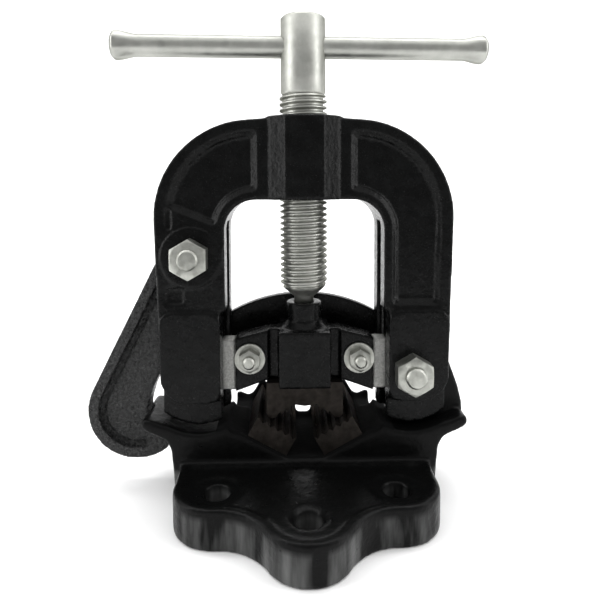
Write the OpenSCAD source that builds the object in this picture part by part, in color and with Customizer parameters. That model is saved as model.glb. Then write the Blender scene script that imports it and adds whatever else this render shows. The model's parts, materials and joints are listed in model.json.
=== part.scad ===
// Hinged pipe vise: a U-shaped yoke hinges on a cast base, a latch hook locks
// it down, and a screw in the yoke drives a toothed upper jaw onto two lower jaws.
// X runs across the vise, Y from its front to its back, Z up from the bench.
// X = 0 is the plane of symmetry and Y = 0 is the plane of the spindle.

/* [Yoke] */
// Height of the top of the yoke above the bench
yoke_top = 188; // [180:1:200]
// Half the width of the yoke across its shoulders
yoke_half = 72.8; // [71:0.1:76]
// Radius of the yoke's outer shoulders
shoulder_r = 48; // [44:1:50]
// Depth of the yoke casting from front to back
yoke_depth = 34; // [32:1:38]
// Half the width of the window between the legs
window_half = 38.7; // [37:0.1:40]
// Height of the top of the window above the bench
window_top = 147.6; // [144:0.1:150]
// Depth of the cast panels sunk into the yoke's faces
panel_depth = 3.2; // [1:0.1:4]

/* [Base] */
// Thickness of the mounting flange
flange_h = 18.4; // [14:0.1:20]
// Distance between the two side mounting holes
hole_pitch = 82; // [70:1:90]
// Diameter of the mounting holes
hole_d = 12; // [8:0.5:14]
// Slope of the two faces that carry the lower jaws
seat_angle = 29; // [27:0.5:31]

/* [Latch] */
// Thickness of the latch hook
hook_t = 12; // [10:0.5:12.4]
// Degrees that the latch turns for each degree that the yoke opens
latch_ratio = 1.1; // [1:0.05:1.3]

/* [Screw] */
// Outside diameter of the spindle thread
thread_d = 24; // [22:1:24]
// Pitch of the spindle thread
pitch = 3; // [2:0.5:4]
// Height of the top of the spindle above the bench
spindle_top = 238.6; // [232:0.1:246]
// Diameter of the sliding tommy bar
bar_d = 11; // [9:0.5:12]
// Overall length of the tommy bar
bar_len = 190; // [150:1:220]
// Angle of the tommy bar to the front plane when the vise is closed
bar_turn = 3; // [-30:1:30]

/* [Jaws] */
// Pitch of the jaw teeth
tooth = 4.2; // [3:0.1:5]
// Depth of the jaw teeth
tooth_h = 1.7; // [1:0.1:2.2]
// Height of the roof of the upper jaw when the vise is closed
upper_apex = 43.5; // [43.5:0.5:48]

/* [Hidden] */
$fn = 72;
eps = 0.01;

// Fasteners: shank diameter, width across flats, head and nut heights
m10_d = 10;
m10_af = 17;
m10_head = 6.4;
m10_nut = 8;
m6_d = 6;
m6_af = 10;
m6_head = 4;
m6_nut = 5;
m6_washer_d = 15.5;
m6_washer_t = 1.6;
fit = 0.08;

front = -yoke_depth / 2;
back = yoke_depth / 2;
pad_proud = 1;
shoulder_drop = 1.6;
pin_x = 52.5;
pin_z = 63;
latch_x = -55;
latch_z = 120;
leg_foot_r = 28;
lug_top_r = 9.3;
slot_half = 6.5;
groove_x = 42.5;
notch_x = 41.2;
groove_half = 5.3;
rim_out = 6;
rim_in = 4.6;
boss_half = 17.5;
boss_flat = 8.8;
boss_proud = 8;

// The latch first turns about this point when the yoke starts to open
turn_x = (pin_x + latch_ratio * latch_x) / (1 + latch_ratio);
turn_z = (pin_z + latch_ratio * latch_z) / (1 + latch_ratio);
nose_x = -75.2;
nose_z = 38.6;
nose_r = 2.6;
catch_r = norm([turn_x - nose_x, turn_z - nose_z]) + nose_r;

seat_x = 9.5;
seat_z = 20.5;
seat_back = 33;
sill_z = 23.3;
jaw_w = 21.6;
jaw_t = 10.5;
jaw_front = -15;
jaw_back = 29;

bar_z = 223.6;
head_d = 22.5;
head_z = 201;
thread_z = 102;
journal_d = 10;
journal_z = 66;
journal_groove_z = 88;
holder_boss_z = 95;
bar_r = bar_d / 2;
guide_x = 27.5;
guide_z = 67.6;
plate_y = back + 0.4;
plate_t = 6;
wing_front = -8;
block_front = -14;
lip_z = 53.5;
pin_reach = 5.6;
roof_z = 55.5;

// ---- helpers --------------------------------------------------------------

// Carries an outline drawn in X and Z from y0 to y1
module slab(y0, y1) {
    translate([0, y1, 0])
        rotate([90, 0, 0])
            linear_extrude(y1 - y0)
                children();
}

module rod_y(x, z, r, y0, y1) {
    translate([x, y1, z])
        rotate([90, 0, 0])
            cylinder(r = r, h = y1 - y0);
}

module both_sides() {
    children();
    mirror([1, 0, 0]) children();
}

module box(x0, x1, y0, y1, z0, z1) {
    translate([x0, y0, z0]) cube([x1 - x0, y1 - y0, z1 - z0]);
}

// Rectangle with round corners, made of squares and circles
module round_rect(x0, x1, z0, z1, r) {
    translate([x0 + r, z0]) square([x1 - x0 - 2 * r, z1 - z0]);
    translate([x0, z0 + r]) square([x1 - x0, z1 - z0 - 2 * r]);
    for (x = [x0 + r, x1 - r], z = [z0 + r, z1 - r])
        translate([x, z]) circle(r);
}

function arc(cx, cz, r, a0, a1, n) =
    [for (i = [0:n]) let (a = a0 + (a1 - a0) * i / n) [cx + r * cos(a), cz + r * sin(a)]];

// Hexagon prism along Y with chamfered corners on its outer end
module hex_y(x, z, af, y0, y1, chamfer_at_y0) {
    r = af / 2 / cos(30);
    h = y1 - y0;
    cone = r - af / 2 + 0.5;
    intersection() {
        translate([x, y1, z])
            rotate([90, 0, 0])
                rotate([0, 0, 30])
                    cylinder(r = r, h = h, $fn = 6);
        translate([x, chamfer_at_y0 ? y1 : y0, z])
            rotate([chamfer_at_y0 ? 90 : -90, 0, 0])
                union() {
                    cylinder(r = r + 1, h = h - cone / 2);
                    translate([0, 0, h - cone / 2 - eps])
                        cylinder(r1 = r, r2 = r - cone, h = cone / 2 + eps);
                }
    }
}

// Hex bolt with its head at the back and a chamfered free end in front
module bolt_y(x, z, d, af, head_h, y_head, y_end) {
    shank = y_head + 1 - y_end;
    hex_y(x, z, af, y_head, y_head + head_h, false);
    translate([x, y_head + 1, z])
        rotate([90, 0, 0])
            rotate_extrude()
                polygon([
                    [0, 0], [d / 2, 0], [d / 2, shank - 0.9],
                    [d / 2 - 0.9, shank], [0, shank]
                ]);
}

module nut_y(x, z, d, af, y0, y1) {
    difference() {
        hex_y(x, z, af, y0, y1, true);
        rod_y(x, z, d / 2, y0 - 1, y1 + 1);
    }
}

// ---- base -----------------------------------------------------------------

lobe_x = hole_pitch / 2;
lobe_y = -36;
lobe_r = 20;
tip_y = -59.5;
tip_r = 19.5;
web_r = 26;
side_hole_y = -38.5;

// Centre of the concave round that joins a side lobe to the front lobe
lobe_gap = norm([lobe_x, tip_y - lobe_y]);
lobe_dir = atan2(lobe_y - tip_y, lobe_x);
tip_reach = tip_r + web_r;
lobe_reach = lobe_r + web_r;
along = (tip_reach * tip_reach - lobe_reach * lobe_reach + lobe_gap * lobe_gap) / (2 * lobe_gap);
across = sqrt(tip_reach * tip_reach - along * along);
web_x = along * cos(lobe_dir) + across * sin(lobe_dir);
web_y = tip_y + along * sin(lobe_dir) - across * cos(lobe_dir);

// Plan of the flange, drawn inwards by inset
module flange_plan(inset) {
    translate([0, tip_y]) circle(tip_r - inset);
    both_sides() {
        translate([lobe_x, lobe_y]) circle(lobe_r - inset);
        difference() {
            polygon([[0, tip_y], [web_x, web_y], [lobe_x, lobe_y], [0, lobe_y]]);
            translate([web_x, web_y]) circle(web_r + inset);
        }
    }
    translate([-lobe_x - lobe_r + inset, lobe_y])
        square([2 * (lobe_x + lobe_r - inset), front - lobe_y + 6 - inset]);
}

module mount_holes() {
    for (p = [[-lobe_x, side_hole_y, 23.5], [lobe_x, side_hole_y, 23.5], [0, tip_y, 17]]) {
        translate([p[0], p[1], -1]) cylinder(d = hole_d, h = flange_h + 2);
        translate([p[0], p[1], flange_h - 2.2]) cylinder(d = p[2], h = 6);
    }
}

// Front view of one half of the body under the yoke
module body_half() {
    difference() {
        polygon([
            [0, 0], [64.4, 0], [65, 10], [66.2, 25], [68.8, 29.6], [78.2, 34],
            [80.6, 35.9], [81, 38.6], [79.4, 40.3], [77, 40.2], [68, 36.8],
            [66, 48], [39.5, 48], [37, 33.8], [31.7, 32.8],
            [seat_x, seat_z], [0, seat_z]
        ]);
        translate([pin_x, pin_z]) circle(leg_foot_r + 2);
        translate([30, 46]) square([60, 30]);
    }
}

// The lug that stands between the yoke's cheeks and carries the hinge bolt.
// Its round top lets the holder's wing swing over it as the yoke opens.
module hinge_lug() {
    translate([pin_x, pin_z]) circle(lug_top_r);
    polygon([
        [pin_x - lug_top_r, pin_z], [pin_x - lug_top_r, 25], [66, 25], [81, 38],
        [81.2, 42.4], [79, 51.5], [pin_x + 21.2, pin_z + 3], [pin_x, pin_z + lug_top_r]
    ]);
}

// Cuts one sloping seat, and the passage for the pipe above it
module seat_cut() {
    both_sides()
        translate([seat_x, seat_z])
            rotate(seat_angle)
                square([60, 60]);
    translate([-seat_x, seat_z]) square([2 * seat_x, 80]);
}

module base_solid() {
    difference() {
        linear_extrude(flange_h) flange_plan(0);
        translate([0, 0, flange_h - 1.1])
            intersection() {
                linear_extrude(3) flange_plan(4.2);
                box(-80, 80, -90, front - 3, -1, 9);
            }
    }
    both_sides() slab(front, back) body_half();
    slab(-slot_half + 0.4, slot_half - 0.4) hinge_lug();
    // behind the yoke the seat narrows and ends in a wall that stops the jaws
    slab(back - eps, seat_back) both_sides() rear_seat_half();
    slab(jaw_back, seat_back) both_sides() rear_wall_half();
}

module rear_seat_half() {
    half = 38;
    slope_top = seat_z + (30 - seat_x) * tan(seat_angle);
    polygon([
        [0, 0], [half, 0], [half, 31], [30, slope_top - 0.1],
        [seat_x, seat_z - 0.1], [0, seat_z - 0.1]
    ]);
}

// The wall follows the jaws' ends and leaves their teeth and the pipe free
module rear_wall_half() {
    polygon([
        [0, 18], [38, 18], [38, 35.4], [35.4, 35.6], [31.6, 33.4], [28.6, 34.8], [25, 41.2],
        [23.4, 42.2], [22.2, 41.8], [7, 32.4], [4.4, 28], [3.9, sill_z], [0, sill_z]
    ]);
}

// Axis of a lower jaw screw: one frame for the hole and for the screw
module screw_frame(side, y) {
    mirror([side < 0 ? 1 : 0, 0, 0])
        translate([seat_x + jaw_w / 2 * cos(seat_angle), y, seat_z + jaw_w / 2 * sin(seat_angle)])
            rotate([0, -seat_angle, 0])
                children();
}

screw_ys = [-6, 10];
screw_d = 6;
screw_head_d = 10;
screw_head_z = -12;

module base() {
    color("#161616")
        difference() {
            base_solid();
            mount_holes();
            rod_y(pin_x, pin_z, m10_d / 2 + fit, -20, 20);
            slab(front - 1, back + 1) seat_floor_trim();
            latch_clearance();
            for (side = [-1, 1], y = screw_ys)
                screw_frame(side, y) {
                    translate([0, 0, -50]) cylinder(d = screw_d, h = 60);
                    translate([0, 0, -60]) cylinder(d = screw_head_d + 1, h = 60 + screw_head_z);
                }
        }
}

// Clears the seat of any slivers left by the outlines beside it
module seat_floor_trim() {
    intersection() {
        seat_cut();
        translate([-31.7, seat_z]) square([63.4, 40]);
    }
}

// Room for the hook's point to swing out from under the left lug
module latch_clearance() {
    slab(-slot_half - 0.3, slot_half + 0.3)
        difference() {
            translate([-90, 0]) square([21, 46]);
            translate([turn_x, turn_z]) circle(catch_r - 0.4, $fn = 180);
        }
}

// ---- lower jaws -----------------------------------------------------------

// Section of a lower jaw: flat on its seat, toothed on top
module lower_jaw_section() {
    n = floor(jaw_w / tooth);
    lead = (jaw_w - n * tooth) / 2;
    polygon(concat(
        [[0, 0.02], [jaw_w, 0.02], [jaw_w, jaw_t]],
        [for (i = [n - 1:-1:0]) for (k = [1, 0])
            k == 1 ? [lead + (i + 1) * tooth - 0.5, jaw_t]
                   : [lead + (i + 0.25) * tooth, jaw_t - tooth_h]],
        [[0, jaw_t]]
    ));
}

module lower_jaw() {
    difference() {
        slab(jaw_front, jaw_back)
            translate([seat_x, seat_z])
                rotate(seat_angle)
                    lower_jaw_section();
        for (y = screw_ys)
            screw_frame(1, y) translate([0, 0, -1]) cylinder(d = screw_d, h = 8);
    }
}

module lower_jaw_right() {
    color("#3a3430") lower_jaw();
}

module lower_jaw_left() {
    color("#3a3430") mirror([1, 0, 0]) lower_jaw();
}

module lower_jaw_screws() {
    color("#2a2a2c")
        for (side = [-1, 1], y = screw_ys)
            screw_frame(side, y)
                difference() {
                    union() {
                        translate([0, 0, screw_head_z]) cylinder(d = screw_d, h = 6.6 - screw_head_z);
                        translate([0, 0, screw_head_z - 6]) cylinder(d = screw_head_d, h = 6);
                    }
                    translate([0, 0, screw_head_z - 6.5])
                        cylinder(d = 5 / cos(30), h = 3.5, $fn = 6);
                }
}

// ---- yoke -----------------------------------------------------------------

// Outer outline of the yoke, drawn inwards by inset
module yoke_outer(inset) {
    r = shoulder_r - inset;
    cx = yoke_half - shoulder_r;
    cz = yoke_top - shoulder_drop - shoulder_r;
    both_sides() {
        translate([cx, cz]) circle(r, $fn = 144);
        polygon([
            [0, 20], [yoke_half - 2.2 - inset, 20], [yoke_half - 2.2 - inset, 60],
            [yoke_half - inset, cz], [cx, cz + r], [boss_flat, yoke_top - inset],
            [0, yoke_top - inset]
        ]);
    }
}

// The window, drawn outwards by grow
module yoke_window(grow) {
    r = 15 + grow;
    w = window_half + grow;
    top = window_top + grow;
    translate([-w, 10]) square([2 * w, top - r - 10]);
    translate([-w + r, 10]) square([2 * (w - r), top - 10]);
    both_sides() translate([w - r, top - r]) circle(r);
}

// Rounds the bottom of each leg about the hinge axis
module foot_rounding() {
    both_sides()
        difference() {
            translate([window_half - 5, 10]) square([60, pin_z - 10]);
            translate([pin_x, pin_z]) circle(leg_foot_r);
        }
}

module yoke_profile() {
    difference() {
        yoke_outer(0);
        yoke_window(0);
        foot_rounding();
    }
}

// The smooth pad on the lower part of each leg
module leg_pad() {
    round_rect(notch_x, 70.4, 48.5, 93, 6);
}

// The cast panels sunk between the rims of the yoke, for one depth step
module sunk_panels(step) {
    difference() {
        yoke_outer(rim_out + step);
        yoke_window(rim_in + step);
        translate([-23 - step, 0]) square([46 + 2 * step, 250]);
        // the right panel ends above the leg pad
        translate([0, 0]) square([90, 96 + step]);
        // the left panel ends on a slant above the latch bolt
        translate([-40, 134 + step]) rotate(-22) translate([-60, -150]) square([90, 150]);
        translate([-90, 0]) square([90, 128]);
    }
}

// A narrow sunk strip beside the latch bolt, and one below it
module latch_side_pockets() {
    translate([-67.4, 133]) square([3.6, 11]);
    translate([-67.4, 97]) square([9, 8.5]);
}

module yoke() {
    color("#141414")
        difference() {
            union() {
                slab(front, back) yoke_profile();
                both_sides()
                    slab(front - pad_proud, back + pad_proud) leg_pad();
                slab(front - pad_proud, back + pad_proud)
                    translate([latch_x, latch_z]) circle(14.4);
                // faceted boss around the thread
                translate([0, 0, window_top])
                    linear_extrude(yoke_top - window_top)
                        polygon([
                            [-boss_half, front], [-boss_flat, front - boss_proud],
                            [boss_flat, front - boss_proud], [boss_half, front],
                            [boss_half, back], [boss_flat, back + boss_proud],
                            [-boss_flat, back + boss_proud], [-boss_half, back]
                        ]);
            }
            // threaded hole, at the thread's outside diameter
            translate([0, 0, window_top - 1]) cylinder(d = thread_d + 2 * fit, h = 60, $fn = 96);
            panel_cuts();
            foot_steps();
            // grooves that guide the wings of the jaw holder
            both_sides() box(window_half - 5, groove_x, -groove_half, groove_half, 20, 136);
            // the fronts of the legs are cut back beside the ends of the wings
            both_sides() box(window_half - 5, notch_x, front - 3, 0, 20, 93);
            // the right leg straddles the hinge lug, the left leg the latch hook
            box(groove_x - 1, 90, -slot_half, slot_half, 20, 93);
            box(-90, -groove_x + 1, -slot_half, slot_half, 60, 156);
            rod_y(pin_x, pin_z, m10_d / 2 + fit, -30, 30);
            rod_y(latch_x, latch_z, m10_d / 2 + fit, -30, 30);
        }
}

module panel_cuts() {
    for (step = [[0, panel_depth / 2], [1.8, panel_depth]]) {
        slab(front - 1, front + step[1]) sunk_panels(step[0]);
        slab(back - step[1], back + 1) sunk_panels(step[0]);
    }
    slab(front - 1, front + 1.4) latch_side_pockets();
    slab(back - 1.4, back + 1) latch_side_pockets();
}

// The feet stand back from the pads above them
module foot_steps() {
    for (y = [[front - 2, front + 6], [back - 6, back + 2]])
        slab(y[0], y[1])
            both_sides()
                difference() {
                    translate([window_half - 5, 20]) square([60, 40]);
                    round_rect(window_half - 6, 70.6, 48.5, 93, 13);
                }
}

// ---- bolts of the hinge and the latch -------------------------------------

m10_seat = back + pad_proud;
m10_front = front - pad_proud;

module hinge_bolt() {
    color("#b9bab2") bolt_y(pin_x, pin_z, m10_d, m10_af, m10_head, m10_seat, m10_front - m10_nut - 2.5);
}

module hinge_nut() {
    color("#c2c3bb") nut_y(pin_x, pin_z, m10_d, m10_af, m10_front - m10_nut, m10_front);
}

module latch_bolt() {
    color("#b9bab2")
        bolt_y(latch_x, latch_z, m10_d, m10_af, m10_head, m10_seat, m10_front - m10_nut - 1.5);
}

module latch_nut() {
    color("#c2c3bb") nut_y(latch_x, latch_z, m10_d, m10_af, m10_front - m10_nut, m10_front);
}

// ---- latch hook -----------------------------------------------------------

hook_cx = -85.3;
hook_cz = 40.3;
hook_r = 24.7;
hook_lean = 25.3;
hook_tip_x = -69.6;
hook_boss_r = 12;
rim_w = 5.6;
channel_w = 3.2;
web_sunk = 1.3;
channel_sunk = 2.8;

// Half turn of the heel, from the straight flank round to the tip
heel_start = 180 - hook_lean;
tip_angle = 360 - acos((hook_tip_x - hook_cx) / hook_r);
face_r = catch_r + 0.5;
face_start = 180 + acos((turn_x - hook_tip_x) / face_r);
face_end = face_start - 8.5;

module latch_hook_profile() {
    polygon(concat(
        [[-75.2, 115]],
        arc(hook_cx, hook_cz, hook_r, heel_start, tip_angle, 32),
        arc(turn_x, turn_z, face_r, face_start, face_end, 8),
        [[-79.6, 41], [-78.9, 45], [-76.7, 52], [-72.2, 61.5]],
        [[-45, 111.5], [latch_x + hook_boss_r - 1, latch_z + 5], [-64, 129]]
    ));
    translate([latch_x, latch_z]) circle(hook_boss_r);
}

// The sunk web between the outer rim and the smooth inner band
module hook_web(rim) {
    r = hook_r - rim;
    shift = rim / cos(hook_lean);
    polygon(concat(
        [[-79.5 + shift, 106]],
        arc(hook_cx, hook_cz, r, heel_start, 300, 24),
        [[-81.6, 33.5], [-85.6, 40], [-84.6, 46.5], [-81.8, 54.6], [-77.6, 63.4], [-61.6, 94], [-57, 103]]
    ));
}

module latch_hook() {
    color("#181818")
        difference() {
            slab(-hook_t / 2, hook_t / 2) latch_hook_profile();
            hook_face();
            mirror([0, 1, 0]) hook_face();
            rod_y(latch_x, latch_z, m10_d / 2 + fit, -20, 20);
        }
}

// One face: sunk inside its rim, with a deeper channel beside the rim
module hook_face() {
    slab(-hook_t, -hook_t / 2 + web_sunk) hook_web(rim_w);
    slab(-hook_t, -hook_t / 2 + channel_sunk)
        difference() {
            hook_web(rim_w);
            hook_web(rim_w + channel_w);
            translate([-81, 0]) square([60, 60]);
        }
}

// ---- jaw holder -----------------------------------------------------------

module wing_profile() {
    polygon([[0, 82], [18, 82], [34.8, 77.6], [34.8, 50.4], [22.2, 55], [18, 56.2], [0, 56.2]]);
}

module jaw_holder() {
    color("#171717")
        difference() {
            union() {
                both_sides() {
                    slab(-5, 5) wing_profile();
                    slab(-5, 5) translate([34, 50.4]) square([groove_x - 0.3 - 34, 25.6]);
                    slab(wing_front, 5)
                        difference() {
                            wing_profile();
                            translate([-1, 0]) square([19.2, 100]);
                        }
                    rod_y(guide_x, guide_z, 9, 0, plate_y);
                }
                // central block with a lip that hangs in front of the jaw
                box(-12.9, 12.9, block_front, plate_y, roof_z, 82);
                box(-12.9, 12.9, block_front, -10, lip_z, roof_z + 1);
                // boss around the end of the spindle
                translate([0, 0, 82 - eps]) cylinder(r1 = 12, r2 = 9, h = 3.5);
                translate([0, 0, 85]) cylinder(r = 9, h = holder_boss_z - 85);
            }
            translate([0, 0, journal_z - 0.05])
                cylinder(d = journal_d + 2 * fit, h = 40);
            both_sides() rod_y(guide_x, guide_z, m6_d / 2, -20, 30);
            retaining_pin_shapes();
            upper_jaw_tongue();
            upper_jaw_pin_shape();
        }
}

// Two pins pass beside the groove of the spindle's end and hold it in the boss
module retaining_pin_shapes() {
    for (y = [-5.35, 5.35])
        translate([-pin_reach, y, journal_groove_z])
            rotate([0, 90, 0])
                cylinder(d = 3, h = 2 * pin_reach);
}

module spindle_retaining_pins() {
    color("#9a9b97") retaining_pin_shapes();
}

// The rear plate clamps the holder against the backs of the yoke's legs
plate_half = 40.2;
plate_r = 82;
plate_top = 95.5;
plate_bottom = 56.6;

module plate_outline(inset) {
    intersection() {
        translate([0, plate_top - plate_r]) circle(plate_r - inset, $fn = 180);
        translate([-plate_half + inset, plate_bottom + inset])
            square([2 * (plate_half - inset), 60]);
    }
}

module rear_guide_plate() {
    color("#1b1b1b")
        difference() {
            slab(plate_y, plate_y + plate_t) plate_outline(0);
            slab(plate_y + plate_t - 1.5, plate_y + plate_t + 1)
                difference() {
                    plate_outline(4);
                    both_sides() translate([guide_x, guide_z]) circle(10);
                }
            both_sides() rod_y(guide_x, guide_z, m6_d / 2, 0, 60);
        }
}

guide_head_y = plate_y + plate_t;
guide_nut_y = wing_front - m6_washer_t;

module guide_bolt() {
    color("#b9bab2")
        bolt_y(guide_x, guide_z, m6_d, m6_af, m6_head, guide_head_y, guide_nut_y - m6_nut - 3);
}

module guide_washer() {
    color("#c6c7bf")
        difference() {
            rod_y(guide_x, guide_z, m6_washer_d / 2, guide_nut_y, wing_front);
            rod_y(guide_x, guide_z, m6_d / 2, -30, 0);
        }
}

module guide_nut() {
    color("#c2c3bb") nut_y(guide_x, guide_z, m6_d, m6_af, guide_nut_y - m6_nut, guide_nut_y);
}

module guide_bolt_right() { guide_bolt(); }
module guide_bolt_left() { mirror([1, 0, 0]) guide_bolt(); }
module guide_washer_right() { guide_washer(); }
module guide_washer_left() { mirror([1, 0, 0]) guide_washer(); }
module guide_nut_right() { guide_nut(); }
module guide_nut_left() { mirror([1, 0, 0]) guide_nut(); }

// ---- upper jaw ------------------------------------------------------------

upper_half = 19.2;
apex_half = 5.9;
lobe_in = 15.6;
lobe_r_jaw = 2.8;
roof_slope = 30;
upper_back = 20;

// Half of the upper jaw's section, with teeth under its sloping roof
module upper_jaw_half() {
    low = upper_apex - (lobe_in - apex_half) * tan(roof_slope);
    step = (lobe_in - apex_half) / 3;
    polygon(concat(
        [[0, upper_apex]],
        [for (i = [0:2]) for (k = [0:(i < 2 ? 1 : 0)])
            k == 0 ? [apex_half + i * step, upper_apex - i * step * tan(roof_slope) + 0.9]
                   : [apex_half + (i + 0.85) * step, upper_apex - (i + 1) * step * tan(roof_slope) - 0.5]],
        arc(upper_half - lobe_r_jaw, low + 2.3, lobe_r_jaw, 225, 360, 10),
        [[upper_half, roof_z], [0, roof_z]]
    ));
}

// The tongue on top of the jaw that the holder's slot receives
module upper_jaw_tongue() {
    box(-7, 7, -6, 14, roof_z - eps, 61);
}

module upper_jaw_pin_shape() {
    translate([-12.9, 4, 58.4])
        rotate([0, 90, 0])
            cylinder(d = 4, h = 25.8);
}

module upper_jaw() {
    color("#38322e")
        difference() {
            union() {
                both_sides() slab(-10, upper_back) upper_jaw_half();
                upper_jaw_tongue();
            }
            upper_jaw_pin_shape();
        }
}

module upper_jaw_pin() {
    color("#9a9b97") upper_jaw_pin_shape();
}

// ---- screw spindle and tommy bar ------------------------------------------

core_r = thread_d / 2 - 0.61 * pitch;
turns = floor((head_z - 2 - thread_z) / pitch);

// Half section of the threaded stretch, one groove for each turn
thread_section = concat(
    [[0, thread_z], [core_r, thread_z]],
    [for (i = [0:turns - 1]) for (k = [0:2])
        k == 0 ? [core_r, thread_z + i * pitch + 0.4]
               : [thread_d / 2, thread_z + (i + 0.44 + 0.18 * (k - 1)) * pitch + 0.2]],
    [[core_r, thread_z + turns * pitch], [core_r, head_z + 1], [0, head_z + 1]]
);

module screw_spindle() {
    color("#b4b6ad")
        difference() {
            union() {
                rotate_extrude($fn = 96) polygon(thread_section);
                rotate_extrude($fn = 96)
                    polygon([
                        [0, head_z - 2], [core_r, head_z - 2], [head_d / 2, head_z],
                        [head_d / 2, spindle_top - 1.2], [head_d / 2 - 1.2, spindle_top],
                        [0, spindle_top]
                    ]);
                rotate_extrude()
                    polygon([
                        [0, journal_z], [journal_d / 2 - 0.6, journal_z],
                        [journal_d / 2, journal_z + 0.6],
                        [journal_d / 2, journal_groove_z - 2],
                        [journal_d / 2 - 1.5, journal_groove_z - 2],
                        [journal_d / 2 - 1.5, journal_groove_z + 2],
                        [journal_d / 2, journal_groove_z + 2],
                        [journal_d / 2, thread_z - 4.5], [core_r, thread_z], [core_r, thread_z + 1],
                        [0, thread_z + 1]
                    ]);
            }
            rotate([0, 0, bar_turn])
                translate([-30, 0, bar_z])
                    rotate([0, 90, 0])
                        cylinder(r = bar_r + fit, h = 60);
        }
}

bar_end_d = 14.6;
bar_end_l = 11;

// Half of the bar: plain shank, then a flared and domed forged end
module bar_half() {
    rotate_extrude()
        polygon([
            [0, 0], [bar_r, 0], [bar_r, bar_len / 2 - bar_end_l],
            [bar_end_d / 2, bar_len / 2 - 3.2], [bar_end_d / 2 - 0.4, bar_len / 2 - 1.9],
            [bar_end_d / 2 - 2.2, bar_len / 2 - 0.6], [0, bar_len / 2]
        ]);
}

module tommy_bar() {
    color("#b4b6ad")
        rotate([0, 0, bar_turn])
            translate([0, 0, bar_z])
                rotate([0, 90, 0]) {
                    bar_half();
                    mirror([0, 0, 1]) bar_half();
                }
}

base();
lower_jaw_left();
lower_jaw_right();
lower_jaw_screws();
yoke();
hinge_bolt();
hinge_nut();
latch_bolt();
latch_nut();
latch_hook();
jaw_holder();
rear_guide_plate();
guide_bolt_left();
guide_bolt_right();
guide_washer_left();
guide_washer_right();
guide_nut_left();
guide_nut_right();
spindle_retaining_pins();
upper_jaw();
upper_jaw_pin();
screw_spindle();
tommy_bar();
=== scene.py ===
import json
import math

import bmesh
import bpy
from mathutils import Matrix, Vector


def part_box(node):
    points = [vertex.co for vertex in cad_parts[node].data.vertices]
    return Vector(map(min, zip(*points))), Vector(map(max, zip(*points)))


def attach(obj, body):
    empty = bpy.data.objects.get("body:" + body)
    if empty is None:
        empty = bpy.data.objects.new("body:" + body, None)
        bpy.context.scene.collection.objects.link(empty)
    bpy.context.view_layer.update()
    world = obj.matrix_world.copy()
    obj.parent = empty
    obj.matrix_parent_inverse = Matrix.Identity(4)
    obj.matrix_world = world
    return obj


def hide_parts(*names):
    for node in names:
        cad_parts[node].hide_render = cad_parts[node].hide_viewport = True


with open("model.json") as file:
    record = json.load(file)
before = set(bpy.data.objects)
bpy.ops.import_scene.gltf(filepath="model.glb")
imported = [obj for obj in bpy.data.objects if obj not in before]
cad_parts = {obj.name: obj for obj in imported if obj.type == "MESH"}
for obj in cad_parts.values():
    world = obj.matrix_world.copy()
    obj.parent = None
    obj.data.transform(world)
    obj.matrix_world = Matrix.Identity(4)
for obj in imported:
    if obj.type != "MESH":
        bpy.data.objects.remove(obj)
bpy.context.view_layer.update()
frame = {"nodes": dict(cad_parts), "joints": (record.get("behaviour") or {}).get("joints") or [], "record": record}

# Lengths of the vise's own parts are given in millimetres and turned into metres with MM
MM = 0.001
BODY_OF = {
    node: body
    for body, nodes in frame["record"]["behaviour"]["bodies"].items()
    for node in nodes
}


# ---- materials -------------------------------------------------------------


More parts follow.
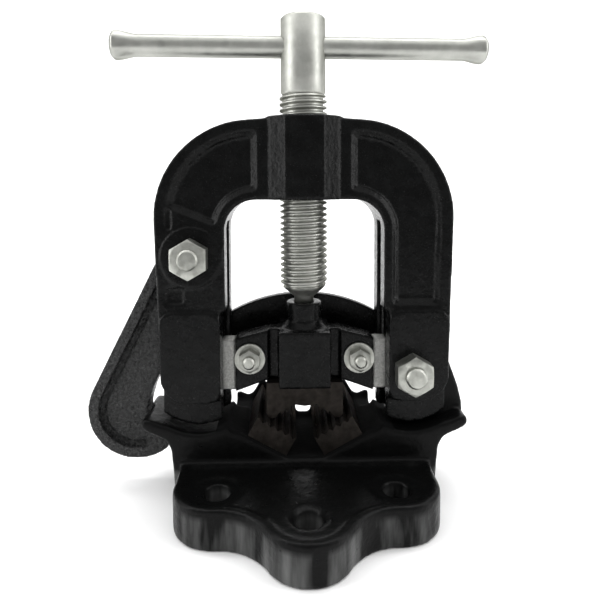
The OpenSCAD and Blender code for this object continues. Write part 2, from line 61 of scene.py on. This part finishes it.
class Shader:
    """A Principled material that is put together from procedural textures."""

    def __init__(self, name):
        self.material = bpy.data.materials.new(name)
        self.material.use_nodes = True
        self.tree = self.material.node_tree
        self.principled = self.tree.nodes["Principled BSDF"]
        self.place = self.tree.nodes.new("ShaderNodeTexCoord").outputs["Object"]

    def set(self, **values):
        for key, value in values.items():
            self.principled.inputs[key.replace("_", " ")].default_value = value

    def axes(self):
        """The three coordinates of each point, by the names X, Y and Z."""
        split = self.tree.nodes.new("ShaderNodeSeparateXYZ")
        self.tree.links.new(self.place, split.inputs[0])
        return split.outputs

    def stretched(self, scale):
        mapping = self.tree.nodes.new("ShaderNodeMapping")
        mapping.inputs["Scale"].default_value = scale
        self.tree.links.new(self.place, mapping.inputs["Vector"])
        return mapping.outputs["Vector"]

    def noise(self, size_mm, detail=3.0, roughness=0.55, stretch=(1, 1, 1)):
        node = self.tree.nodes.new("ShaderNodeTexNoise")
        node.inputs["Scale"].default_value = 1 / (size_mm * MM)
        node.inputs["Detail"].default_value = detail
        node.inputs["Roughness"].default_value = roughness
        self.tree.links.new(self.stretched(stretch), node.inputs["Vector"])
        return node.outputs["Fac"]

    def cells(self, size_mm):
        node = self.tree.nodes.new("ShaderNodeTexVoronoi")
        node.inputs["Scale"].default_value = 1 / (size_mm * MM)
        self.tree.links.new(self.place, node.inputs["Vector"])
        return node.outputs["Distance"]

    def remap(self, value, low_in, high_in, low_out, high_out):
        node = self.tree.nodes.new("ShaderNodeMapRange")
        node.inputs["From Min"].default_value = low_in
        node.inputs["From Max"].default_value = high_in
        node.inputs["To Min"].default_value = low_out
        node.inputs["To Max"].default_value = high_out
        self.tree.links.new(value, node.inputs["Value"])
        return node.outputs["Result"]

    def blend_colour(self, value, dark, light, low=0.35, high=0.65):
        ramp = self.tree.nodes.new("ShaderNodeValToRGB")
        ramp.color_ramp.elements[0].position = low
        ramp.color_ramp.elements[0].color = (*dark, 1)
        ramp.color_ramp.elements[1].position = high
        ramp.color_ramp.elements[1].color = (*light, 1)
        self.tree.links.new(value, ramp.inputs["Fac"])
        self.tree.links.new(ramp.outputs["Color"], self.principled.inputs["Base Color"])

    def math(self, operation, *values):
        """A math node whose inputs are sockets or plain numbers."""
        node = self.tree.nodes.new("ShaderNodeMath")
        node.operation = operation
        for socket, value in zip(node.inputs, values):
            if isinstance(value, (int, float)):
                socket.default_value = value
            else:
                self.tree.links.new(value, socket)
        return node.outputs[0]

    def roughness(self, value):
        self.tree.links.new(value, self.principled.inputs["Roughness"])

    def bump(self, height, depth_mm, strength=1.0):
        """Adds one more layer of relief on top of the layers before it."""
        node = self.tree.nodes.new("ShaderNodeBump")
        node.inputs["Strength"].default_value = strength
        node.inputs["Distance"].default_value = depth_mm * MM
        self.tree.links.new(height, node.inputs["Height"])
        normal = self.principled.inputs["Normal"]
        if normal.links:
            self.tree.links.new(normal.links[0].from_socket, node.inputs["Normal"])
        self.tree.links.new(node.outputs["Normal"], normal)


def enamel_material():
    """Black enamel, brushed thickly over rough cast iron."""
    m = Shader("enamel")
    m.set(Metallic=0.0, IOR=1.5, Specular_IOR_Level=0.12)
    m.blend_colour(m.noise(7, 4), (0.0016, 0.0017, 0.0017), (0.0042, 0.0044, 0.0044))
    m.roughness(m.remap(m.noise(4, 5, 0.6), 0.3, 0.7, 0.18, 0.34))
    m.bump(m.noise(5.5, 2, 0.5), 0.36, 0.8)
    m.bump(m.noise(1.5, 4, 0.6), 0.18, 0.9)
    m.bump(m.cells(0.9), 0.05, 0.7)
    return m.material


# The painted reflection streaks fade out over this height below the top of the flange's wall
FLANGE_WALL_TOP = 15.5
REFLECTION_STREAK_FADE = 3
# Middle and half width, in X, Y and Z, of the matt seats under the lower jaws
SEAT_ZONE = ((0, 44), (9, 25.4), (31, 13))


def base_enamel_material():
    """The enamel on the base: pale upright streaks of painted reflection on the flange's wall, and matt seats."""
    m = Shader("base_enamel")
    m.set(Metallic=0.0, IOR=1.5, Specular_IOR_Level=0.1)
    axes = m.axes()
    low = m.remap(axes["Z"], FLANGE_WALL_TOP * MM, (FLANGE_WALL_TOP - REFLECTION_STREAK_FADE) * MM, 0, 1)
    painted_reflection_streaks = m.remap(m.noise(13, 4, 0.6, stretch=(1, 1, 0.16)), 0.42, 0.78, 0, 1)
    # Painted reflection: pale upright streaks lightened into the colour of the flange's wall, fading out towards
    # its top
    m.blend_colour(m.math("MULTIPLY", low, painted_reflection_streaks), (0.0022, 0.0023, 0.0023), (0.15, 0.152, 0.15), 0, 1)
    in_x, in_y, in_z = (
        m.math("COMPARE", axes[axis], middle * MM, half * MM)
        for axis, (middle, half) in zip("XYZ", SEAT_ZONE)
    )
    seat = m.math("MULTIPLY", m.math("MULTIPLY", in_x, in_y), in_z)
    m.roughness(m.math("MAXIMUM", m.remap(m.noise(4, 5, 0.6), 0.3, 0.7, 0.26, 0.42), seat))
    m.bump(m.noise(6, 2, 0.5), 0.36, 0.8)
    m.bump(m.noise(1.7, 4, 0.6), 0.18, 0.9)
    m.bump(m.cells(0.9), 0.04, 0.6)
    return m.material


def rough_enamel_material():
    """The same enamel where it lies thinly over coarse sand-cast iron."""
    m = Shader("rough_enamel")
    m.set(Metallic=0.0, IOR=1.5, Specular_IOR_Level=0.34)
    m.blend_colour(m.noise(1.5, 5, 0.7), (0.0012, 0.0013, 0.0013), (0.055, 0.056, 0.056), 0.44, 0.72)
    m.roughness(m.remap(m.noise(2.2, 5, 0.6), 0.3, 0.7, 0.2, 0.4))
    m.bump(m.noise(2.6, 5, 0.72), 1.7, 1.0)
    m.bump(m.cells(1.3), 0.25, 0.9)
    return m.material


def bare_iron_material():
    """Ground cast iron on the ends of the holder's wings, with fine grains."""
    m = Shader("bare_iron")
    m.set(Metallic=1.0)
    m.blend_colour(m.noise(0.9, 6, 0.75), (0.3, 0.3, 0.288), (0.66, 0.66, 0.635), 0.3, 0.7)
    m.roughness(m.remap(m.noise(1.2, 5, 0.7), 0.3, 0.7, 0.42, 0.7))
    m.bump(m.noise(0.7, 5, 0.7), 0.09, 0.8)
    return m.material


# Share of the light that the steels still reflect at grazing angles
STEEL_EDGE_TINT = (0.3, 0.3, 0.285, 1)
JAW_EDGE_TINT = (0.12, 0.11, 0.1, 1)


def spindle_material():
    """Turned steel with a thin zinc coat: fine rings round the axis and a few dark specks."""
    m = Shader("spindle_steel")
    m.set(Metallic=1.0, Specular_Tint=STEEL_EDGE_TINT)
    m.blend_colour(m.noise(9, 5, 0.6), (0.38, 0.385, 0.355), (0.53, 0.535, 0.5), 0.3, 0.7)
    m.roughness(m.remap(m.noise(3, 4), 0.3, 0.7, 0.36, 0.52))
    m.bump(m.noise(2.5, 3, 0.6, stretch=(0.25, 0.25, 7)), 0.045, 0.7)
    m.bump(m.noise(1.6, 5, 0.7), 0.03, 0.6)
    return m.material


def bar_material():
    """Drawn steel bar, slightly warmer and smoother than the spindle."""
    m = Shader("bar_steel")
    m.set(Metallic=1.0, Specular_Tint=STEEL_EDGE_TINT)
    m.blend_colour(m.noise(8, 5, 0.6), (0.35, 0.355, 0.33), (0.48, 0.485, 0.455), 0.3, 0.7)
    m.roughness(m.remap(m.noise(4, 4), 0.3, 0.7, 0.34, 0.5))
    m.bump(m.noise(3, 4, 0.6, stretch=(0.3, 1.5, 1.5)), 0.05, 0.7)
    m.bump(m.noise(1.1, 5, 0.7), 0.02, 0.5)
    return m.material


def zinc_material():
    """Zinc plate on the bolts, nuts and washers."""
    m = Shader("zinc")
    m.set(Metallic=1.0)
    m.blend_colour(m.noise(4, 5, 0.6), (0.28, 0.285, 0.26), (0.46, 0.465, 0.43), 0.3, 0.7)
    m.roughness(m.remap(m.noise(2.5, 4), 0.3, 0.7, 0.32, 0.5))
    m.bump(m.noise(1.3, 5, 0.65), 0.035, 0.7)
    return m.material


def jaw_material():
    """Hardened jaw steel, brown from quenching oil."""
    m = Shader("jaw_steel")
    m.set(Metallic=0.85, Specular_Tint=JAW_EDGE_TINT, Specular_IOR_Level=0.1)
    m.blend_colour(m.noise(3.5, 5, 0.6), (0.02, 0.0175, 0.0155), (0.042, 0.037, 0.033), 0.3, 0.7)
    m.roughness(m.remap(m.noise(2, 5), 0.3, 0.7, 0.42, 0.62))
    m.bump(m.noise(0.8, 5, 0.7), 0.05, 0.8)
    return m.material


def dark_steel_material():
    """Blackened steel of the hidden screws and pins."""
    m = Shader("dark_steel")
    m.set(Metallic=0.9)
    m.blend_colour(m.noise(2.5, 4), (0.09, 0.09, 0.092), (0.17, 0.17, 0.172))
    m.roughness(m.remap(m.noise(1.5, 4), 0.3, 0.7, 0.34, 0.52))
    m.bump(m.noise(0.9, 4, 0.6), 0.03, 0.6)
    return m.material


# ---- building pieces -------------------------------------------------------


def add_piece(name, mesh, nodes, materials):
    """Puts a mesh in the scene as the piece that stands for the given CAD nodes."""
    piece = bpy.data.objects.new(name, mesh)
    bpy.context.scene.collection.objects.link(piece)
    mesh.materials.clear()
    for material in materials:
        mesh.materials.append(material)
    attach(piece, BODY_OF[nodes[0]])
    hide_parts(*nodes)
    return piece


def welded_copy(node):
    """A copy of a CAD node's mesh whose faces share their corners."""
    bm = bmesh.new()
    bm.from_mesh(frame["nodes"][node].data)
    bmesh.ops.remove_doubles(bm, verts=bm.verts, dist=0.002 * MM)
    return bm


def to_mesh(bm, name):
    mesh = bpy.data.meshes.new(name)
    bm.to_mesh(mesh)
    bm.free()
    return mesh


CAST_SMOOTHING = 0.5


def cast_piece(node, materials, voxel_mm, rounds, relief_mm, relief_size_mm):
    """A casting: the CAD shape in fine cells, with its edges rounded and a surface like sand."""
    piece = add_piece(node + "_cast", to_mesh(welded_copy(node), node + "_cast"), [node], materials)
    cells = piece.modifiers.new("cells", "REMESH")
    cells.mode = "VOXEL"
    cells.voxel_size = voxel_mm * MM * 1
    cells.use_smooth_shade = True
    rounding = piece.modifiers.new("rounding", "SMOOTH")
    rounding.factor = CAST_SMOOTHING
    rounding.iterations = rounds
    texture = bpy.data.textures.new(node + "_sand", "CLOUDS")
    texture.noise_scale = relief_size_mm * MM
    texture.noise_depth = 3
    sand = piece.modifiers.new("sand", "DISPLACE")
    sand.texture = texture
    sand.texture_coords = "LOCAL"
    sand.strength = relief_mm * MM
    sand.mid_level = 1.0
    return piece


def machined_piece(node, materials, bevel_mm, sharp_deg=32):
    """A machined part: the CAD shape with a small bevel on each sharp edge."""
    mesh = to_mesh(welded_copy(node), node + "_part")
    mesh.shade_smooth()
    mesh.set_sharp_from_angle(angle=math.radians(sharp_deg))
    piece = add_piece(node + "_part", mesh, [node], materials)
    bevel = piece.modifiers.new("bevel", "BEVEL")
    bevel.width = bevel_mm * MM
    bevel.segments = 3
    bevel.limit_method = "ANGLE"
    bevel.angle_limit = math.radians(sharp_deg)
    bevel.use_clamp_overlap = True
    bevel.harden_normals = True
    return piece


def turned_solid(bm, heights, segments, radius_at):
    """A closed solid about Z. radius_at(row, height, angle) gives its radius at each point."""
    rings = []
    for row, height in enumerate(heights):
        ring = []
        for k in range(segments):
            angle = 2 * math.pi * k / segments
            radius = radius_at(row, height, angle)
            ring.append(bm.verts.new((radius * math.cos(angle), radius * math.sin(angle), height)))
        rings.append(ring)
    for low, high in zip(rings, rings[1:]):
        for k in range(segments):
            after = (k + 1) % segments
            bm.faces.new((low[k], low[after], high[after], high[k]))
    bm.faces.new(list(reversed(rings[0])))
    bm.faces.new(rings[-1])


# ---- castings --------------------------------------------------------------

# The holder's wings are bare metal beyond this distance from the middle
BARE_FROM_X = 34.6


def build_castings(enamel, base_enamel, rough, bare):
    cast_piece("base", [base_enamel], 0.9, 16, 0.16, 2.4)
    cast_piece("yoke", [enamel], 0.9, 3, 0.16, 2.4)
    cast_piece("latch_hook", [rough], 0.6, 6, 0.2, 1.6)
    cast_piece("rear_guide_plate", [enamel], 0.6, 6, 0.12, 2.4)
    holder = cast_piece("jaw_holder", [enamel, bare], 0.6, 6, 0.12, 2.0)
    paint_wing_ends(holder)


def paint_wing_ends(holder):
    """Gives the bare metal ends of the wings their own material, once the shape is final."""
    graph = bpy.context.evaluated_depsgraph_get()
    final = bpy.data.meshes.new_from_object(holder.evaluated_get(graph))
    holder.modifiers.clear()
    holder.data = final
    for face in final.polygons:
        if abs(face.center.x) > BARE_FROM_X * MM:
            face.material_index = 1


# ---- spindle ---------------------------------------------------------------

THREAD_PITCH = 3.0
THREAD_TOP_FADE = 2.2
THREAD_FOOT_FADE = 3.6
THREAD_LOW = 102.0
THREAD_HIGH = 200.4
THREAD_DEPTH = 1.75
THREAD_STEPS_PER_PITCH = 14
THREAD_SEGMENTS = 96
# Shares of half a pitch that the flat crest and the sloping flank take up
CREST_SHARE = 0.22
FLANK_SHARE = 0.5
# The thread runs this far into the head and the neck, a hair inside the CAD's diameter
HEAD_OVERLAP = 0.6
NECK_OVERLAP = 0.2
THREAD_INSET = 0.02
SPINDLE_SHARP_DEG = 40


def thread_height(z, angle, radius):
    """Radius of a right-handed trapezoid thread, faded out at both of its ends."""
    phase = (z / THREAD_PITCH - angle / (2 * math.pi)) % 1.0
    from_crest = abs(phase - 0.5) * 2
    fall = min(1.0, max(0.0, (from_crest - CREST_SHARE) / FLANK_SHARE))
    cut = THREAD_DEPTH * fall * fall * (3 - 2 * fall)
    foot = max(0.0, 1 - (z - THREAD_LOW) / THREAD_FOOT_FADE)
    head = max(0.0, 1 - (THREAD_HIGH - z) / THREAD_TOP_FADE)
    return radius - max(cut, THREAD_DEPTH * max(foot, head) ** 1.5)


def threaded_stretch(bm, radius):
    rows = int((THREAD_HIGH - THREAD_LOW) / THREAD_PITCH * THREAD_STEPS_PER_PITCH)
    heights = [(THREAD_LOW + (THREAD_HIGH - THREAD_LOW) * i / rows) * MM for i in range(rows + 1)]

    def radius_at(row, height, angle):
        return thread_height(height / MM, angle, radius) * MM

    turned_solid(bm, heights, THREAD_SEGMENTS, radius_at)


def cut_away(bm, height, keep_above):
    """Cuts a mesh at a height, keeps one side of it and closes the cut."""
    geometry = bm.verts[:] + bm.edges[:] + bm.faces[:]
    cut = bmesh.ops.bisect_plane(
        bm,
        geom=geometry,
        plane_co=(0, 0, height),
        plane_no=(0, 0, 1),
        clear_inner=keep_above,
        clear_outer=not keep_above,
    )
    edges = [e for e in cut["geom_cut"] if isinstance(e, bmesh.types.BMEdge)]
    bmesh.ops.holes_fill(bm, edges=edges)


def build_spindle(material):
    low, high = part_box("screw_spindle")
    radius = (high.x - low.x) / 2 / MM
    bm = bmesh.new()
    for height, keep_above in ((THREAD_HIGH - HEAD_OVERLAP, True), (THREAD_LOW + NECK_OVERLAP, False)):
        part = welded_copy("screw_spindle")
        cut_away(part, height * MM, keep_above)
        mesh = to_mesh(part, "spindle_part")
        bm.from_mesh(mesh)
        bpy.data.meshes.remove(mesh)
    threaded_stretch(bm, radius - THREAD_INSET)
    mesh = to_mesh(bm, "screw_spindle_part")
    mesh.shade_smooth()
    mesh.set_sharp_from_angle(angle=math.radians(SPINDLE_SHARP_DEG))
    return add_piece("screw_spindle_part", mesh, ["screw_spindle"], [material])


# ---- tommy bar -------------------------------------------------------------

BAR_SEGMENTS = 64
BAR_INSET = 0.03
SHANK_REACH = 60
SHANK_STEPS = 40
SHANK_SHARE = 0.86
FLARE_LENGTH = 13.0
FLARE_STEPS = 14
FLARE_CAP = 2.6
# The domed end keeps this share of the flare's radius as a flat face
CAP_FLAT = 0.42
CAP_STEPS = 8
FACETS = 8
FACET_DEPTH = 0.05


def bar_profile(shank_r, end_r, half):
    """Half of the bar from its middle: shank, smooth flare, rim and domed end."""
    profile = [(shank_r, half * SHANK_SHARE * k / SHANK_STEPS) for k in range(SHANK_STEPS + 1)]
    start = half - FLARE_LENGTH
    for k in range(FLARE_STEPS + 1):
        t = k / FLARE_STEPS
        swell = t * t * (3 - 2 * t)
        profile.append((shank_r + (end_r - shank_r) * swell, start + (FLARE_LENGTH - FLARE_CAP) * t))
    for k in range(1, CAP_STEPS + 1):
        a = math.pi / 2 * k / (CAP_STEPS + 0.5)
        radius = end_r * (CAP_FLAT + (1 - CAP_FLAT) * math.cos(a))
        profile.append((radius, half - FLARE_CAP + FLARE_CAP * math.sin(a)))
    return profile


def build_tommy_bar(material):
    slide = next(j for j in frame["joints"] if j["name"] == "tommy_bar_slide")
    low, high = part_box("tommy_bar")
    centre = (low + high) / 2
    end_r = (high.z - low.z) / 2 / MM
    axis = Vector(slide["axis"]).normalized()
    reach = (high.x - low.x) / 2 / MM
    half = (reach - end_r * abs(axis.y)) / abs(axis.x)
    shank_r = bar_shank_radius(centre, axis)
    one_side = bar_profile(shank_r, end_r - BAR_INSET, half)
    profile = [(r, -z) for r, z in reversed(one_side)] + one_side[1:]
    bm = bmesh.new()

    def forged_radius(row, height, angle):
        near_end = max(0.0, (abs(height) - (half - FLARE_LENGTH)) / FLARE_LENGTH)
        facet = FACET_DEPTH * near_end * (1 + math.cos(FACETS * angle)) / 2
        return profile[row][0] * (1 - facet)

    turned_solid(bm, [height for radius, height in profile], BAR_SEGMENTS, forged_radius)
    turn = Vector((0, 0, 1)).rotation_difference(axis).to_matrix().to_4x4()
    bm.transform(Matrix.Translation(centre) @ turn @ Matrix.Scale(MM, 4))
    mesh = to_mesh(bm, "tommy_bar_part")
    mesh.shade_smooth()
    return add_piece("tommy_bar_part", mesh, ["tommy_bar"], [material])


def bar_shank_radius(centre, axis):
    """Radius of the CAD bar near its middle, clear of its flared ends."""
    near = [
        (v.co - centre - axis * (v.co - centre).dot(axis)).length
        for v in frame["nodes"]["tommy_bar"].data.vertices
        if abs((v.co - centre).dot(axis)) < SHANK_REACH * MM
    ]
    return max(near) / MM


# ---- fasteners and jaws ----------------------------------------------------

ZINC_BEVEL = 0.3
WASHER_BEVEL = 0.2
JAW_BEVEL = 0.3
PIN_BEVEL = 0.2


def build_fasteners_and_jaws(zinc, jaw_steel, dark_steel):
    for bolted in ("hinge", "latch"):
        for part in ("bolt", "nut"):
            machined_piece(f"{bolted}_{part}", [zinc], ZINC_BEVEL)
    for part, bevel in (("bolt", ZINC_BEVEL), ("washer", WASHER_BEVEL), ("nut", ZINC_BEVEL)):
        for side in ("left", "right"):
            machined_piece(f"guide_{part}_{side}", [zinc], bevel)
    for node in ("lower_jaw_left", "lower_jaw_right", "upper_jaw"):
        machined_piece(node, [jaw_steel], JAW_BEVEL)
    for node in ("lower_jaw_screws", "spindle_retaining_pins", "upper_jaw_pin"):
        machined_piece(node, [dark_steel], PIN_BEVEL)


# ---- stage, light and camera -----------------------------------------------

# The stage, the lights and the camera are placed in metres
FLOOR_WIDTH = 3.2
FLOOR_FRONT = -0.45
WALL_DISTANCE = 0.9
SWEEP_RADIUS = 0.45
WALL_HEIGHT = 1.7
SWEEP_STEPS = 16


def pale_material():
    material = bpy.data.materials.new("pale_floor")
    material.use_nodes = True
    shader = material.node_tree.nodes["Principled BSDF"]
    shader.inputs["Base Color"].default_value = (0.93, 0.93, 0.93, 1)
    shader.inputs["Roughness"].default_value = 0.95
    shader.inputs["Specular IOR Level"].default_value = 0.0
    return material


def build_floor():
    """A pale floor that sweeps up into a pale wall behind the vise."""
    line = [(FLOOR_FRONT, 0.0)]
    for k in range(SWEEP_STEPS + 1):
        a = math.pi / 2 * k / SWEEP_STEPS
        line.append(
            (WALL_DISTANCE - SWEEP_RADIUS + SWEEP_RADIUS * math.sin(a), SWEEP_RADIUS * (1 - math.cos(a)))
        )
    line.append((WALL_DISTANCE, WALL_HEIGHT))
    half = FLOOR_WIDTH / 2
    corners = [(x, y, z) for y, z in line for x in (-half, half)]
    faces = [(2 * i, 2 * i + 1, 2 * i + 3, 2 * i + 2) for i in range(len(line) - 1)]
    mesh = bpy.data.meshes.new("floor")
    mesh.from_pydata(corners, [], faces)
    mesh.shade_smooth()
    mesh.materials.append(pale_material())
    floor = bpy.data.objects.new("floor", mesh)
    bpy.context.scene.collection.objects.link(floor)


def area_light(name, place, aim, width, height, power):
    light = bpy.data.lights.new(name, "AREA")
    light.shape = "RECTANGLE"
    light.size = width
    light.size_y = height
    light.energy = power
    lamp = bpy.data.objects.new(name, light)
    lamp.location = place
    lamp.rotation_mode = "QUATERNION"
    lamp.rotation_quaternion = (Vector(aim) - Vector(place)).to_track_quat("-Z", "Y")
    bpy.context.scene.collection.objects.link(lamp)


def build_lights():
    world = bpy.data.worlds.new("studio")
    world.use_nodes = True
    background = world.node_tree.nodes["Background"]
    background.inputs["Color"].default_value = (1, 1, 1, 1)
    background.inputs["Strength"].default_value = 0.45
    bpy.context.scene.world = world
    centre = (0, 0, 0.11)
    area_light("key_left", (-0.9, -0.25, 0.4), centre, 0.3, 0.9, 4.5)
    area_light("key_right", (0.9, -0.25, 0.4), centre, 0.3, 0.9, 4)
    area_light("top", (0, -0.05, 1.25), centre, 3.0, 1.8, 15)
    area_light("wall_wash", (0, 0.2, 1.5), (0, 0.9, 0.4), 2.6, 0.4, 20)


CAMERA_PLACE = (-0.0080, -0.2800, 0.1575)
CAMERA_PITCH_DEG = 3.21
CAMERA_YAW_DEG = 1.27
CAMERA_ROLL_DEG = -0.25
CAMERA_LENS = 32.9
CAMERA_SENSOR = 36
# Moves the picture down far enough to show the whole vise
CAMERA_SHIFT = -0.15


def build_camera():
    data = bpy.data.cameras.new("camera")
    data.lens = CAMERA_LENS
    data.sensor_width = CAMERA_SENSOR
    data.shift_y = CAMERA_SHIFT
    data.clip_start = 0.005
    camera = bpy.data.objects.new("camera", data)
    pitch, yaw, roll = (math.radians(a) for a in (CAMERA_PITCH_DEG, CAMERA_YAW_DEG, CAMERA_ROLL_DEG))
    forward = Vector((math.sin(yaw) * math.cos(pitch), math.cos(yaw) * math.cos(pitch), -math.sin(pitch)))
    camera.rotation_mode = "QUATERNION"
    camera.rotation_quaternion = (
        forward.to_track_quat("-Z", "Y").to_matrix() @ Matrix.Rotation(roll, 3, "Z")
    ).to_quaternion()
    camera.location = CAMERA_PLACE
    bpy.context.scene.collection.objects.link(camera)
    bpy.context.scene.camera = camera


# ---- scene -----------------------------------------------------------------

build_castings(enamel_material(), base_enamel_material(), rough_enamel_material(), bare_iron_material())
build_spindle(spindle_material())
build_tommy_bar(bar_material())
build_fasteners_and_jaws(zinc_material(), jaw_material(), dark_steel_material())
build_floor()
build_lights()
build_camera()
bpy.context.scene.view_settings.view_transform = "Standard"
